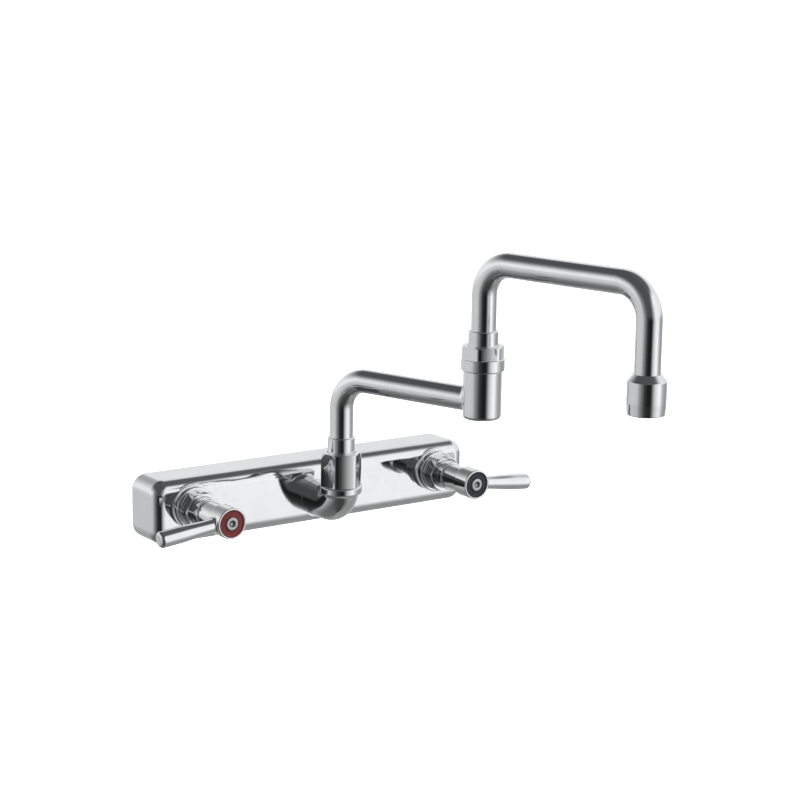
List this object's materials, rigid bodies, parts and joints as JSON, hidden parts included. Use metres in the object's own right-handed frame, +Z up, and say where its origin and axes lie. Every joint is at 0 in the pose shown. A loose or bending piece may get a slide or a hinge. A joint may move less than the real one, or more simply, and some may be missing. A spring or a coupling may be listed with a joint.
{
  "type": "wall-mounted mixer tap",
  "caption": "Chrome two-handle mixer tap: long wall-mounted body with lever valves and a double-jointed swing spout.",
  "frame": {"origin": "on the wall plane, midway between the two inlets, 1 mm above the middle of the body's height", "axes": "+X to the right along the body, +Y into the wall, +Z up"},
  "size_m": [0.3074, 0.3255, 0.2107],
  "materials": {
    "chrome": "polished chrome plate",
    "brass": "turned brass",
    "steel": "stainless screw",
    "hot_index": "red moulded plastic",
    "cold_index": "dark blue moulded plastic",
    "rubber": "black nitrile rubber",
    "nylon": "natural acetal",
    "ceramic": "lapped alumina",
    "straightener": "dark moulded acetal"
  },
  "bodies": {
    "faucet_body": {"body_casting": "chrome", "outlet_elbow": "chrome", "base_swivel_nut": "chrome", "base_bearing_ring": "nylon", "hot_bonnet": "chrome", "hot_bonnet_locknut": "chrome", "hot_cartridge_shell": "brass", "hot_fixed_disc": "ceramic", "hot_seat_seal": "rubber", "cold_bonnet": "chrome", "cold_bonnet_locknut": "chrome", "cold_cartridge_shell": "brass", "cold_fixed_disc": "ceramic", "cold_seat_seal": "rubber"},
    "first_arm": {"arm_one_tube": "chrome", "base_spigot": "brass", "base_collar": "chrome", "base_lower_ring": "rubber", "base_upper_ring": "rubber", "joint_housing": "chrome", "joint_swivel_nut": "chrome", "joint_bearing_ring": "nylon"},
    "second_arm": {"arm_two_tube": "chrome", "joint_spigot": "brass", "joint_collar": "chrome", "joint_lower_ring": "rubber", "joint_upper_ring": "rubber", "outlet_fitting": "chrome", "outlet_washer": "rubber", "flow_straightener": "straightener"},
    "hot_valve": {"hot_lever_handle": "chrome", "hot_index_ring": "hot_index", "hot_handle_screw": "steel", "hot_stem": "brass", "hot_stem_ring": "rubber", "hot_moving_disc": "ceramic"},
    "cold_valve": {"cold_lever_handle": "chrome", "cold_index_ring": "cold_index", "cold_handle_screw": "steel", "cold_stem": "brass", "cold_stem_ring": "rubber", "cold_moving_disc": "ceramic"}
  },
  "joints": [
    {"name": "spout_swing", "type": "hinge", "parent": "faucet_body", "child": "first_arm", "pos_m": [0, -0.0665, 0.0343], "axis": [0, 0, 1], "range_deg": [-126.5, 93.5]},
    {"name": "elbow_swing", "type": "hinge", "parent": "first_arm", "child": "second_arm", "pos_m": [0.03408, -0.18156, 0.1242], "axis": [0, 0, 1], "continuous": true},
    {"name": "hot_turn", "type": "hinge", "parent": "faucet_body", "child": "hot_valve", "pos_m": [-0.1016, -0.083, 0.002], "axis": [0, -1, 0], "range_deg": [0, 90]},
    {"name": "cold_turn", "type": "hinge", "parent": "faucet_body", "child": "cold_valve", "pos_m": [0.1016, -0.083, 0.002], "axis": [0, 1, 0], "range_deg": [0, 90]}
  ]
}
